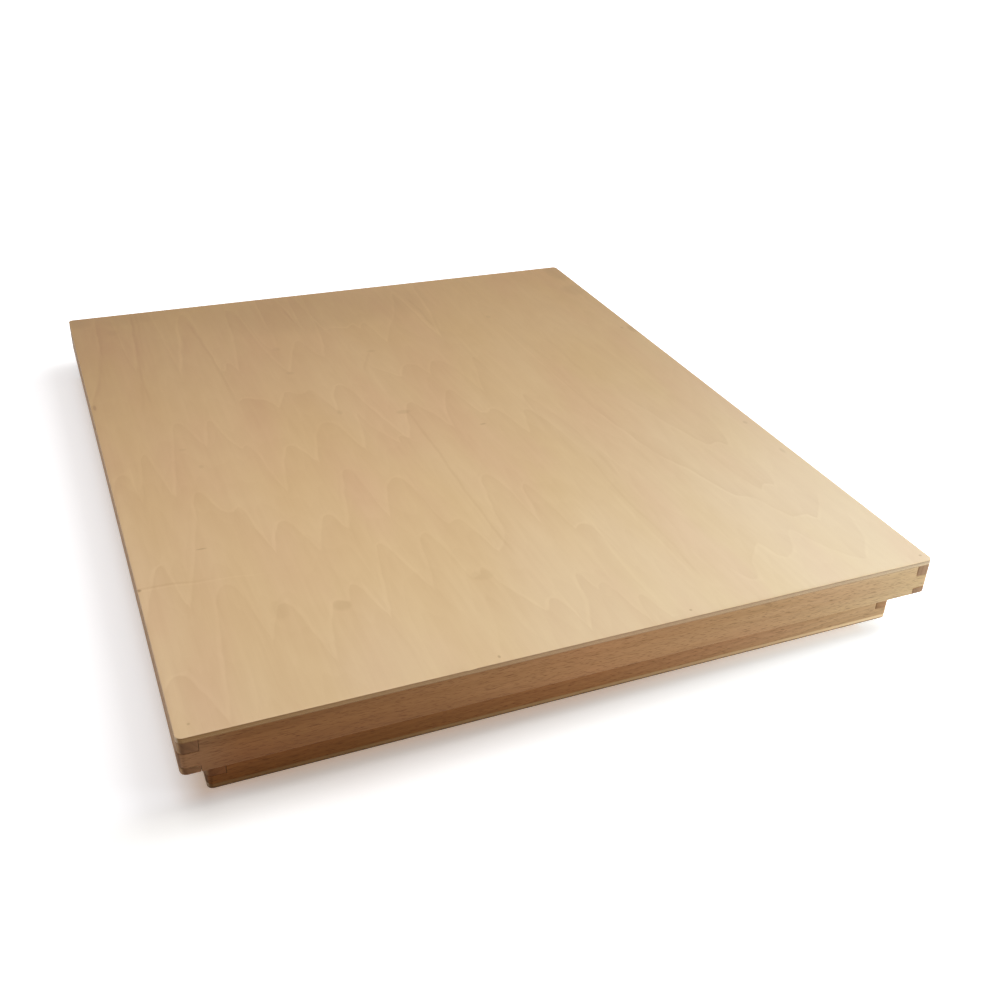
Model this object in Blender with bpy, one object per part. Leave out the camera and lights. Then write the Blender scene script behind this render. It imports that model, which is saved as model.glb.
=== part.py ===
# A lidded wooden box for a movable alphabet.
# The base is a tray: four finger-jointed beech rails on a plywood bottom, with a grid of
# cross-halved dividers housed in the rails. The lid is four finger-jointed beech rails under a
# plywood top. It laps over the base and rests on the base's rim.
# Metres, +Z up, front towards -Y. The origin lies under the middle of the base.

from math import radians

import bmesh
import bpy
from mathutils import Vector

# Base
base_width = 0.424              # outside, left to right
base_depth = 0.514              # outside, front to back
base_rail_height = 0.0425
base_rail_thickness = 0.010
base_panel_thickness = 0.003
base_bottom_finger = 0.0051     # lowest finger, which belongs to the front and back rails

# Lid
lid_play = 0.003                # from the base's outside to the lid's inside
lid_rail_height = 0.0208
lid_rail_thickness = 0.010
lid_panel_thickness = 0.003
lid_top_finger = 0.007          # highest finger, which belongs to the side rails

# Finger joints
finger_height = 0.009
short_finger_share = 0.4        # a remainder shorter than this share joins the finger beside it

# Divider grid
compartments_across = 5
compartments_along = 6
divider_thickness = 0.003
divider_drop = 0.002            # from the rim down to the top of the dividers
housing_depth = 0.003           # of the grooves in the rails that hold the dividers' ends
slot_play = 0.0002              # on each side of a divider in its slot or groove
halving_share = 0.5             # share of a divider's height that the slot from above takes

# Sanded edges
corner_radius = 0.0035          # upright corners, in plan
rail_edge_radius = 0.0012       # free outside edges of the rails
panel_edge_radius = 0.0005      # free face edges of the plywood panels
divider_edge_radius = 0.0006
inside_chamfer = 0.0008         # inside edge of the rim and of the lid's mouth
corner_segments = 4
edge_segments = 3

# Clearances and cutting
glue_gap = 0.0002               # between faces that are glued
seat_gap = 0.0003               # between the rim and the lid's top panel
overrun = 0.004                 # how far a cutter passes beyond what it cuts
same_place = 0.000001           # points nearer than this are on the same line

# Places that follow from the sizes above
inside_width = base_width - 2 * base_rail_thickness
inside_depth = base_depth - 2 * base_rail_thickness
base_rail_bottom = base_panel_thickness + glue_gap
rim = base_rail_bottom + base_rail_height
divider_height = base_rail_height - divider_drop
lid_overhang = lid_play + lid_rail_thickness
lid_width = base_width + 2 * lid_overhang
lid_depth = base_depth + 2 * lid_overhang
lid_panel_bottom = rim + seat_gap
lid_rail_bottom = lid_panel_bottom - glue_gap - lid_rail_height

# Colours of the woods, as (red, green, blue, alpha), and how rough each finish is
veneer = {"colour": (0.70, 0.51, 0.32, 1), "roughness": 0.42}
bottom_veneer = {"colour": (0.66, 0.48, 0.30, 1), "roughness": 0.50}
long_beech = {"colour": (0.56, 0.36, 0.21, 1), "roughness": 0.45}
side_beech = {"colour": (0.52, 0.33, 0.19, 1), "roughness": 0.45}
divider_wood = {"colour": (0.66, 0.49, 0.32, 1), "roughness": 0.55}


def add_box(bm, low, high):
    """Adds a block between two opposite corners and returns its vertices."""
    low, high = Vector(low), Vector(high)
    verts = bmesh.ops.create_cube(bm, size=1)["verts"]
    for vert in verts:
        vert.co = (low + high) / 2 + vert.co * (high - low)
    return verts


def finish_mesh(bm, name):
    """Turns the working mesh into a mesh with its faces pointing out."""
    bm.normal_update()
    bmesh.ops.recalc_face_normals(bm, faces=bm.faces)
    mesh = bpy.data.meshes.new(name)
    bm.to_mesh(mesh)
    bm.free()
    return mesh


def round_edges(bm, edges, radius, segments):
    """Sands the given edges to a radius."""
    bmesh.ops.bevel(bm, geom=edges, offset=radius, segments=segments, profile=0.5,
                    affect='EDGES', clamp_overlap=True)


def upright_edges(bm, chosen):
    """Edges along Z whose place the given test accepts."""
    return [edge for edge in bm.edges
            if (edge.verts[0].co - edge.verts[1].co).xy.length < same_place
            and chosen(edge.verts[0].co)]


def level_edges(bm, height, chosen):
    """Edges that lie at one height and whose middle the given test accepts."""
    found = []
    for edge in bm.edges:
        start, end = (vert.co for vert in edge.verts)
        level = max(abs(start.z - height), abs(end.z - height)) < same_place
        if level and chosen((start + end) / 2):
            found.append(edge)
    return found


def make_piece(name, mesh, wood, location, turn, parent):
    """Places a piece by its location and its turn about Z, with a material of its own."""
    material = bpy.data.materials.new(name)
    material.use_nodes = True
    shader = material.node_tree.nodes["Principled BSDF"]
    shader.inputs["Base Color"].default_value = wood["colour"]
    shader.inputs["Roughness"].default_value = wood["roughness"]
    shader.inputs["Metallic"].default_value = 0
    mesh.materials.append(material)
    piece = bpy.data.objects.new(name, mesh)
    piece.location = location
    piece.rotation_euler.z = turn
    piece.parent = parent
    bpy.context.scene.collection.objects.link(piece)
    return piece


def make_cutter(name, mesh, parent):
    """Makes a shape that only cuts. It moves with its parent and is never shown."""
    cutter = bpy.data.objects.new(name, mesh)
    cutter.parent = parent
    cutter.hide_render = True
    cutter.display_type = 'WIRE'
    bpy.context.scene.collection.objects.link(cutter)
    return cutter


def cut(piece, cutter):
    """Takes a cutter's shape out of a piece."""
    modifier = piece.modifiers.new(cutter.name, 'BOOLEAN')
    modifier.operation = 'DIFFERENCE'
    modifier.solver = 'EXACT'
    modifier.object = cutter


def cut_boxes(piece, name, boxes):
    """Takes blocks out of a piece, each given by two corners in the piece's own axes."""
    bm = bmesh.new()
    for low, high in boxes:
        add_box(bm, low, high)
    cut(piece, make_cutter(piece.name + "_" + name, finish_mesh(bm, name), piece))


def finger_marks(height, first_finger):
    """Distances from one edge of a rail at which the fingers pass from rail to rail."""
    marks = [0, first_finger]
    while height - marks[-1] > finger_height * (1 + short_finger_share):
        marks.append(marks[-1] + finger_height)
    marks.append(height)
    return marks


def socket_boxes(length, frame, first):
    """Blocks to cut from both ends of a rail, where the crossing rail's fingers go.

    Fingers are counted up from the lower edge. Every second one is cut away, from the one
    numbered first.
    """
    marks, thickness = frame["marks"], frame["thickness"]
    end = length / 2 + overrun
    shoulder = length / 2 - thickness - glue_gap
    boxes = []
    for index in range(first, len(marks) - 1, 2):
        bottom = marks[index] - (glue_gap / 2 if index > 0 else overrun)
        top = marks[index + 1] + (glue_gap / 2 if index < len(marks) - 2 else overrun)
        for low, high in ((-end, -shoulder), (shoulder, end)):
            boxes.append(((low, -overrun, bottom), (high, thickness + overrun, top)))
    return boxes


def make_rail(name, length, frame, wood, location, turn):
    """A rail along its own X, with its outside face at Y = 0 and its lower edge at Z = 0.

    Its upright outside corners and its free outside edge are sanded round.
    """
    thickness = frame["thickness"]
    bm = bmesh.new()
    add_box(bm, (-length / 2, 0, 0), (length / 2, thickness, frame["height"]))
    round_edges(bm, upright_edges(bm, lambda at: at.y < same_place),
                corner_radius, corner_segments)
    round_edges(bm, level_edges(bm, frame["free_edge"], lambda at: at.y < thickness - same_place),
                rail_edge_radius, edge_segments)
    return make_piece(name, finish_mesh(bm, name), wood, location, turn, frame["parent"])


def make_easing(frame):
    """A four-sided taper that chamfers the inside of a frame's free edge all round."""
    upward = 1 if frame["free_edge"] > 0 else -1
    edge = frame["bottom"] + frame["free_edge"]
    both = Vector((1, 1))
    opening = Vector((frame["width"], frame["depth"])) / 2 - both * frame["thickness"]
    narrow = opening - both * overrun
    wide = opening + both * (inside_chamfer + overrun)
    bm = bmesh.new()
    verts = add_box(bm, (-1, -1, edge - upward * (inside_chamfer + overrun)),
                    (1, 1, edge + upward * overrun))
    for vert in verts:
        beyond_edge = (vert.co.z - edge) * upward > 0
        vert.co.xy = vert.co.xy * (wide if beyond_edge else narrow)
    return make_cutter(frame["name"] + "_easing", finish_mesh(bm, "easing"), frame["parent"])


def make_frame(frame):
    """Four finger-jointed rails with a chamfer round the inside of their free edge."""
    width, depth, bottom = frame["width"], frame["depth"], frame["bottom"]
    rails = {
        "front": (width, long_beech, (0, -depth / 2, bottom), 0),
        "back": (width, long_beech, (0, depth / 2, bottom), radians(180)),
        "left": (depth, side_beech, (-width / 2, 0, bottom), radians(-90)),
        "right": (depth, side_beech, (width / 2, 0, bottom), radians(90)),
    }
    easing = make_easing(frame)
    made = {}
    for side, (length, wood, location, turn) in rails.items():
        name = frame["name"] + "_" + side + "_rail"
        rail = make_rail(name, length, frame, wood, location, turn)
        keeps_lowest = side in frame["lowest_finger"]
        cut_boxes(rail, "sockets", socket_boxes(length, frame, 1 if keeps_lowest else 0))
        cut(rail, easing)
        made[side] = rail
    return made


def make_panel(name, width, depth, thickness, free_face, wood, location, parent):
    """A plywood sheet with rounded corners and a sanded edge round its free face."""
    bm = bmesh.new()
    add_box(bm, (-width / 2, -depth / 2, 0), (width / 2, depth / 2, thickness))
    round_edges(bm, upright_edges(bm, lambda at: True), corner_radius, corner_segments)
    round_edges(bm, level_edges(bm, free_face, lambda at: True), panel_edge_radius, edge_segments)
    return make_piece(name, finish_mesh(bm, name), wood, location, 0, parent)


def divider_places(inside, compartments):
    """Where the dividers' middles lie across a width shared into equal compartments."""
    step = (inside + divider_thickness) / compartments
    return [index * step - (inside + divider_thickness) / 2 for index in range(1, compartments)]


def slot_boxes(places, near, far, bottom, top):
    """Upright slots that each take a divider, between two places along Y."""
    half = divider_thickness / 2 + slot_play
    return [((place - half, near, bottom), (place + half, far, top)) for place in places]


def make_divider(name, inside, places, bottom, top, location, turn):
    """A strip along its own X, with its ends in the housings and slots for those it crosses."""
    length = inside + 2 * (housing_depth - glue_gap)
    side = divider_thickness / 2
    bm = bmesh.new()
    add_box(bm, (-length / 2, -side, 0), (length / 2, side, divider_height))
    round_edges(bm, level_edges(bm, divider_height, lambda at: abs(at.y) > side - same_place),
                divider_edge_radius, edge_segments)
    divider = make_piece(name, finish_mesh(bm, name), divider_wood, location, turn, None)
    cut_boxes(divider, "slots", slot_boxes(places, -side - overrun, side + overrun, bottom, top))


def make_base():
    """A tray: plywood bottom, four rails, and housings in them for the dividers' ends."""
    make_panel("base_panel", base_width, base_depth, base_panel_thickness, 0, bottom_veneer,
               (0, 0, 0), None)
    rails = make_frame({
        "name": "base",
        "width": base_width,
        "depth": base_depth,
        "height": base_rail_height,
        "thickness": base_rail_thickness,
        "bottom": base_rail_bottom,
        "free_edge": base_rail_height,
        "marks": finger_marks(base_rail_height, base_bottom_finger),
        "lowest_finger": ("front", "back"),
        "parent": None,
    })
    for side, rail in rails.items():
        if side in ("front", "back"):
            places = divider_places(inside_width, compartments_across)
        else:
            places = divider_places(inside_depth, compartments_along)
        housings = slot_boxes(places, base_rail_thickness - housing_depth,
                              base_rail_thickness + overrun, -overrun, base_rail_height + overrun)
        cut_boxes(rail, "housings", housings)


def make_dividers():
    """The grid: the strips from front to back are slotted above, the others below."""
    across = divider_places(inside_width, compartments_across)
    along = divider_places(inside_depth, compartments_along)
    crossing = divider_height * (1 - halving_share)
    for index, place in enumerate(across):
        make_divider("long_divider_" + str(index + 1), inside_depth, along,
                     crossing - glue_gap / 2, divider_height + overrun,
                     (place, 0, base_rail_bottom), radians(90))
    for index, place in enumerate(along):
        make_divider("cross_divider_" + str(index + 1), inside_width, across,
                     -overrun, crossing + glue_gap / 2,
                     (0, place, base_rail_bottom), 0)


def make_lid():
    """The lid's pieces hang on an empty on the line along which the lid lifts off."""
    lift = bpy.data.objects.new("lid_lift_axis", None)
    lift.location = (0, 0, lid_rail_bottom)
    bpy.context.scene.collection.objects.link(lift)
    make_panel("lid_panel", lid_width, lid_depth, lid_panel_thickness, lid_panel_thickness,
               veneer, (0, 0, lid_panel_bottom - lid_rail_bottom), lift)
    marks = [lid_rail_height - mark for mark in finger_marks(lid_rail_height, lid_top_finger)]
    odd_fingers = len(marks) % 2 == 0
    make_frame({
        "name": "lid",
        "width": lid_width,
        "depth": lid_depth,
        "height": lid_rail_height,
        "thickness": lid_rail_thickness,
        "bottom": 0,
        "free_edge": 0,
        "marks": marks[::-1],
        "lowest_finger": ("left", "right") if odd_fingers else ("front", "back"),
        "parent": lift,
    })


for old in list(bpy.data.objects):
    bpy.data.objects.remove(old)

make_base()
make_dividers()
make_lid()
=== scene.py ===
import math

import bmesh
import bpy
from mathutils import Matrix, Vector


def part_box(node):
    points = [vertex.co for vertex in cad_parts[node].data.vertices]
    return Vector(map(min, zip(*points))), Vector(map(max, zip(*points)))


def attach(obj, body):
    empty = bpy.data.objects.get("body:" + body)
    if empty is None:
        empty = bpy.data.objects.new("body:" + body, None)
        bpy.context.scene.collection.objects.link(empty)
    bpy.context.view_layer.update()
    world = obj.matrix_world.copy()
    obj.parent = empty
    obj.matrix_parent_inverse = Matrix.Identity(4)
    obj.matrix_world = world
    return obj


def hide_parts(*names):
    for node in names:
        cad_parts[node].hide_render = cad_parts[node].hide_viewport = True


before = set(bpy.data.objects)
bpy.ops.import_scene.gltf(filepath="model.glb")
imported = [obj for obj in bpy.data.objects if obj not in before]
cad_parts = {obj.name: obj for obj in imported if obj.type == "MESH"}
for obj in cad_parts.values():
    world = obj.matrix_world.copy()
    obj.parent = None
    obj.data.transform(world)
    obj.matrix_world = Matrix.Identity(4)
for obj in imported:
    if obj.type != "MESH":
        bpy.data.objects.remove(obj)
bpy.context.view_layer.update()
print("frame loaded:", len(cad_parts), "solids")

for spare in ("Cube", "Light", "Camera"):
    if spare in bpy.data.objects:
        bpy.data.objects.remove(bpy.data.objects[spare])
scene = bpy.context.scene
scene.view_settings.view_transform = "Standard"


# small helpers for the shaders

def paint(red, green, blue):
    # a colour as a painter reads it off a screen, 0 to 255, turned into what a shader takes
    values = []
    for value in (red, green, blue):
        share = value / 255
        values.append(share / 12.92 if share <= 0.04045 else ((share + 0.055) / 1.055) ** 2.4)
    return (*values, 1.0)


def addNode(tree, kind, feeds=None, **settings):
    node = tree.nodes.new("ShaderNode" + kind)
    for setting, value in settings.items():
        setattr(node, setting, value)
    for socket, value in (feeds or {}).items():
        if isinstance(value, bpy.types.NodeSocket):
            tree.links.new(value, node.inputs[socket])
        else:
            node.inputs[socket].default_value = value
    return node


def calc(tree, operation, *values, clamp=False):
    feeds = dict(enumerate(values))
    return addNode(tree, "Math", feeds, operation=operation, use_clamp=clamp).outputs[0]


def calcVector(tree, operation, feeds):
    return addNode(tree, "VectorMath", feeds, operation=operation).outputs[0]


def noiseAt(tree, place, factors, detail=2.0, roughness=0.5, shift=(0.0, 0.0, 0.0)):
    # factors are how many swings there are per mm along each axis
    spot = calcVector(tree, "MULTIPLY_ADD", {0: place, 1: factors, 2: shift})
    feeds = {"Vector": spot, "Scale": 1.0, "Detail": detail, "Roughness": roughness}
    return addNode(tree, "TexNoise", feeds).outputs["Fac"]


def between(tree, value, low, high, first=0.0, last=1.0):
    # slides smoothly from first to last while value goes from low to high
    feeds = {"Value": value, "From Min": low, "From Max": high, "To Min": first, "To Max": last}
    return addNode(tree, "MapRange", feeds, interpolation_type="SMOOTHSTEP").outputs["Result"]


def within(tree, value, riseFrom, riseTo, fallFrom, fallTo):
    # 1 in the middle and 0 outside
    rise = between(tree, value, riseFrom, riseTo)
    return calc(tree, "MULTIPLY", rise, between(tree, value, fallFrom, fallTo, 1.0, 0.0))


def apart(tree, first, second):
    return calc(tree, "ABSOLUTE", calc(tree, "SUBTRACT", first, second))


def spotsAt(tree, place, factors, edge, kinds=None, flat=False):
    # a spot in each cell, whose rim fades over edge; kinds leaves out the cells whose own number is lower
    feeds = {"Vector": calcVector(tree, "MULTIPLY", {0: place, 1: factors}), "Scale": 1.0}
    node = addNode(tree, "TexVoronoi", feeds, voronoi_dimensions="2D" if flat else "3D")
    spot = between(tree, node.outputs["Distance"], *edge, 1.0, 0.0)
    if kinds is None:
        return spot
    number = addNode(tree, "SeparateColor", {0: node.outputs["Color"]}).outputs[0]
    return calc(tree, "MULTIPLY", spot, between(tree, number, *kinds))


def swing(tree, value, amount):
    # turns a noise of 0 to 1 into one that swings round zero and is amount wide
    return calc(tree, "MULTIPLY_ADD", value, amount, -amount / 2)


def mixed(tree, share, first, second, way="MIX"):
    node = addNode(tree, "Mix", {0: share, 6: first, 7: second}, data_type="RGBA", blend_type=way)
    return node.outputs[2]


def tinted(tree, colour, tint):
    return mixed(tree, 1.0, colour, tint, way="MULTIPLY")


def drifted(tree, along, stops):
    # from the first colour at 0 through the second at a half to the third at 1
    early = calc(tree, "MULTIPLY", along, 2.0, clamp=True)
    late = calc(tree, "MULTIPLY_ADD", along, 2.0, -1.0, clamp=True)
    return mixed(tree, late, mixed(tree, early, stops[0], stops[1]), stops[2])


def shaded(tree, colour, mask, amount, middle=0.0):
    # lightens the colour by amount where mask is 1, or darkens it, and leaves it where mask is at its middle
    factor = calc(tree, "MULTIPLY_ADD", mask, amount, 1.0 - middle * amount)
    if isinstance(colour, tuple):
        colour = colour[:3]
    return calcVector(tree, "SCALE", {0: colour, 3: factor})


def startMaterial(name):
    material = bpy.data.materials.new(name)
    material.use_nodes = True
    tree = material.node_tree
    tree.nodes.clear()
    coords = addNode(tree, "TexCoord").outputs
    placeMm = calcVector(tree, "SCALE", {0: coords["Object"], 3: 1000.0})
    facing = addNode(tree, "SeparateXYZ", {0: coords["Normal"]}).outputs
    return material, tree, placeMm, facing


def alongGrain(tree, order, shift):
    # the place with the grain's own axis first, moved on to another piece of wood
    turned = addNode(tree, "CombineXYZ", dict(enumerate(order))).outputs[0]
    return calcVector(tree, "ADD", {0: turned, 1: shift})


def easedShare(tree, facing):
    # 1 on the eased edges, where the surface faces along no axis, and 0 on the flat faces
    largest = calc(tree, "ABSOLUTE", facing["X"])
    for axis in ("Y", "Z"):
        largest = calc(tree, "MAXIMUM", largest, calc(tree, "ABSOLUTE", facing[axis]))
    return between(tree, largest, 0.80, 0.97, 1.0, 0.0)


grainDepth = 0.0002  # metres from the bottom of the pores to the top of the fibres


def finishMaterial(tree, colour, roughness, height, look):
    bump = addNode(tree, "Bump", {"Height": height, "Strength": look["bump"], "Distance": grainDepth})
    feeds = {"Base Color": colour, "Roughness": roughness, "Normal": bump.outputs[0]}
    shader = addNode(tree, "BsdfPrincipled", feeds)
    shader.inputs["Specular IOR Level"].default_value = look["gloss"]
    addNode(tree, "OutputMaterial", {"Surface": shader.outputs[0]})


# A board can change colour along its length: its left or front end, its middle and its other end, as shares
# of red, green and blue. Both front rails go from rosy to straw: partly their own colour, partly painted
# shade at the left end and a painted sheen at the right end.
noTint = (1.0, 1.0, 1.0, 1.0)
evenWood = (noTint, noTint, noTint)
# a painted sheen: paler and bluer all along, for a face seen at a glancing angle
paintedSheenWood = ((1.15, 1.32, 1.55, 1.0), (1.15, 1.32, 1.55, 1.0), (1.15, 1.30, 1.45, 1.0))
lidFrontWoodAndPaintedLight = ((1.02, 0.85, 0.68, 1.0), (1.15, 1.17, 1.22, 1.0), (0.85, 1.21, 1.54, 1.0))
baseFrontWoodAndPaintedLight = ((1.07, 0.84, 0.56, 1.0), (1.08, 1.00, 0.91, 1.0), (0.97, 1.29, 1.68, 1.0))

# solid beech for the rails
beech = {
    "light": paint(160, 117, 75),
    "dark": paint(151, 108, 67),
    "pink": paint(161, 112, 75),
    "ray": paint(92, 57, 32),  # the short dark flecks
    "endGrain": paint(130, 94, 64),
    "ringWidth": 3.4,  # mm between growth rings
    "ringSway": 2.4,  # and how many rings they sway by
    "fleckShare": 0.85,
    "dashes": ((0.15, 1.6, 1.0), (0.05, 0.28), (0.35, 0.9)),  # sharp flecks: how many per mm, rim and kinds
    "streaks": (0.12, 1.9, 1.0),  # soft flecks per mm
    "fleckLean": 2.4,  # mm along the board for each mm across it
    "fleckWander": 1.6,  # mm
    "fibreTone": 0.18,  # how much the fibres and the broader ripple lighten and darken it
    "rippleTone": 0.12,
    "pores": ((1.0, 3.4, 3.4), (0.12, 0.40)),  # in the end grain
    "endRingTone": -0.16,
    "poreTone": -0.14,
    "endDriftTone": 0.22,
    "driftLength": 400,  # mm, over which a board changes colour
    "tipRun": (-222, -190),  # mm from the board's middle, where the tint of its tip fades out
    "rubbedAndHighlit": 0.10,  # how much lighter the eased edges are: partly handling wear, partly a painted highlight
    "roughness": 0.50,
    "bump": 0.35,
    "gloss": 0.14,
}


def beechMaterial(name, board):
    # the board's grain is the axis that its fibres run along, and heart, skew and rise say where it was cut
    material, tree, place, facing = startMaterial(name)
    grain = board["grain"]
    x, y, z = addNode(tree, "SeparateXYZ", {0: place}).outputs
    run, across, up = (x, y, z) if grain == "X" else (y, x, z)
    moved = alongGrain(tree, (run, across, up), board["shift"])
    endShare = between(tree, calc(tree, "ABSOLUTE", facing[grain]), 0.6, 0.92)

    # growth rings round the heart of the tree, which lies a little askew to the board
    sway = noiseAt(tree, moved, (0.012, 0.05, 0.05), 3.0)
    heartAcross = calc(tree, "MULTIPLY_ADD", run, board["skew"], board["heart"][0])
    heartUp = calc(tree, "MULTIPLY_ADD", run, board["rise"], board["heart"][1])
    sideways = calc(tree, "POWER", calc(tree, "SUBTRACT", across, heartAcross), 2.0)
    upward = calc(tree, "POWER", calc(tree, "SUBTRACT", up, heartUp), 2.0)
    radius = calc(tree, "SQRT", calc(tree, "ADD", sideways, upward))
    rings = calc(tree, "DIVIDE", radius, beech["ringWidth"])
    ring = calc(tree, "FRACT", calc(tree, "MULTIPLY_ADD", sway, beech["ringSway"], rings))
    late = within(tree, ring, 0.25, 0.93, 0.94, 1.0)

    # the short dark flecks that mark beech, some sharp and some soft, on a sheet that bends round the board
    wander = noiseAt(tree, moved, (0.10, 0.35, 0.35), shift=(5, 9, 1))
    level = calc(tree, "MULTIPLY_ADD", wander, beech["fleckWander"], up)
    level = calc(tree, "MULTIPLY_ADD", across, 0.93, level)
    slant = calc(tree, "MULTIPLY_ADD", level, beech["fleckLean"], calc(tree, "ADD", run, board["shift"][0]))
    sheet = addNode(tree, "CombineXYZ", {0: slant, 1: level}).outputs[0]
    dash = spotsAt(tree, sheet, *beech["dashes"], flat=True)
    streak = between(tree, noiseAt(tree, sheet, beech["streaks"]), 0.53, 0.72, 0.0, 0.7)
    flecks = calc(tree, "MAXIMUM", dash, streak)
    fibres = noiseAt(tree, moved, (0.05, 2.4, 2.4), 3.0, 0.6)
    ripple = noiseAt(tree, moved, (0.11, 0.55, 0.55), 2.0, 0.55, shift=(7, 2, 6))
    bands = noiseAt(tree, moved, (0.006, 0.16, 0.16))
    drift = noiseAt(tree, moved, (0.009, 0.03, 0.03), 1.0, shift=(11, 5, 2))

    wood = mixed(tree, between(tree, bands, 0.3, 0.7), beech["light"], beech["dark"])
    wood = mixed(tree, between(tree, drift, 0.35, 0.75, 0.0, 0.4), wood, beech["pink"])
    wood = shaded(tree, wood, late, -board["ringDepth"])
    wood = mixed(tree, calc(tree, "MULTIPLY", flecks, beech["fleckShare"]), wood, beech["ray"])
    wood = shaded(tree, wood, fibres, beech["fibreTone"], 0.5)
    wood = shaded(tree, wood, ripple, beech["rippleTone"], 0.5)
    wood = shaded(tree, wood, 1.0, board["tone"])
    # the drift along the board: on the front rails partly the wood's own colour, partly painted shade at the
    # left end and a painted sheen at the right end; on the lid's left rail a painted sheen
    along = calc(tree, "MULTIPLY_ADD", run, 1 / beech["driftLength"], 0.5, clamp=True)
    wood = tinted(tree, wood, drifted(tree, along, board["drift"]))
    tip = between(tree, run, *beech["tipRun"], 1.0, 0.0)
    wood = mixed(tree, tip, wood, tinted(tree, wood, board["tip"]))

    # end grain: darker, with sharper rings and fine pores
    pore = spotsAt(tree, moved, *beech["pores"])
    sawn = shaded(tree, beech["endGrain"], late, beech["endRingTone"])
    sawn = shaded(tree, sawn, pore, beech["poreTone"])
    sawn = shaded(tree, sawn, drift, beech["endDriftTone"], 0.5)
    # the end grain's tint: on the right rails a painted sheen, on the lid's left rail a painted reflection
    sawn = tinted(tree, sawn, board["sawn"])
    colour = mixed(tree, endShare, wood, sawn)
    eased = easedShare(tree, facing)
    # the eased edges are lighter: partly handling wear, partly a painted highlight
    colour = shaded(tree, colour, eased, beech["rubbedAndHighlit"])

    roughness = calc(tree, "MULTIPLY_ADD", fibres, 0.14, beech["roughness"])
    roughness = calc(tree, "MULTIPLY_ADD", endShare, 0.12, roughness)
    roughness = calc(tree, "MULTIPLY_ADD", eased, -0.08, roughness)
    height = calc(tree, "SUBTRACT", calc(tree, "MULTIPLY", fibres, 0.6), calc(tree, "MULTIPLY", flecks, 0.5))
    finishMaterial(tree, colour, roughness, height, beech)
    return material


layerBlur = 0.06  # mm to each side of the border between two layers of plywood
glueRim = (0.02, 0.12)  # mm from the middle of a glue line, where it fades and ends

# birch plywood for the lid's top and the base's bottom
birch = {
    "light": paint(207, 173, 129),
    "yellow": paint(204, 169, 122),
    "pink": paint(204, 165, 124),
    "frontLeft": (1.17, 1.24, 1.38, 1.0),  # painted light: the top is paler in front, and whiter with a painted sheen at the right
    "frontRight": (1.01, 1.19, 1.35, 1.0),
    "backLeft": (0.85, 0.755, 0.59, 1.0),  # painted shade: darker and yellower at the back, most at the left
    "backRight": (1.12, 1.04, 0.85, 1.0),
    "darkLean": (0.65, 1.0, 1.1),  # the figure's dark lines are warm
    "knot": paint(140, 100, 62),  # the small brown marks
    "fibreTone": 0.055,  # how much the fibres, the streaks and the mottle lighten and darken it
    "streakTone": 0.08,
    "mottleTone": 0.10,
    "flecks": ((1.8, 0.32, 0.6), (0.08, 0.30), (0.55, 0.9)),  # short ones: how many per mm, rim and kinds
    "fleckTone": -0.04,
    "flameStep": 46,  # mm from one plain flame to the next
    "flameBend": -9.0,
    "wobble": 2.4,  # mm that the drawn lines stray by
    "edgeCore": paint(186, 156, 120),
    "edgeEnd": paint(170, 140, 106),
    "edgeUnder": paint(176, 144, 108),
    "glue": paint(110, 80, 54),
    "layers": (0.85, 2.60),  # mm from the outer face to the two glue lines
    "glueDepth": (0.35, 0.1),  # how strongly these show
    "paintedContactShadeTo": (0.8, 1.1),  # mm from the outer face, where the painted shade along an edge that meets the floor fades and ends
    "paintedSheenSideEdge": (1.65, 1.85, 2.15, 1.0),  # a painted sheen: the edges at the left and right are paler
    # the eased edges are lighter: partly handling wear, partly a painted highlight
    "rubbedAndHighlit": 0.06,
    "roughness": 0.44,
    "bump": 0.22,
    "gloss": 0.2,
}

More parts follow.
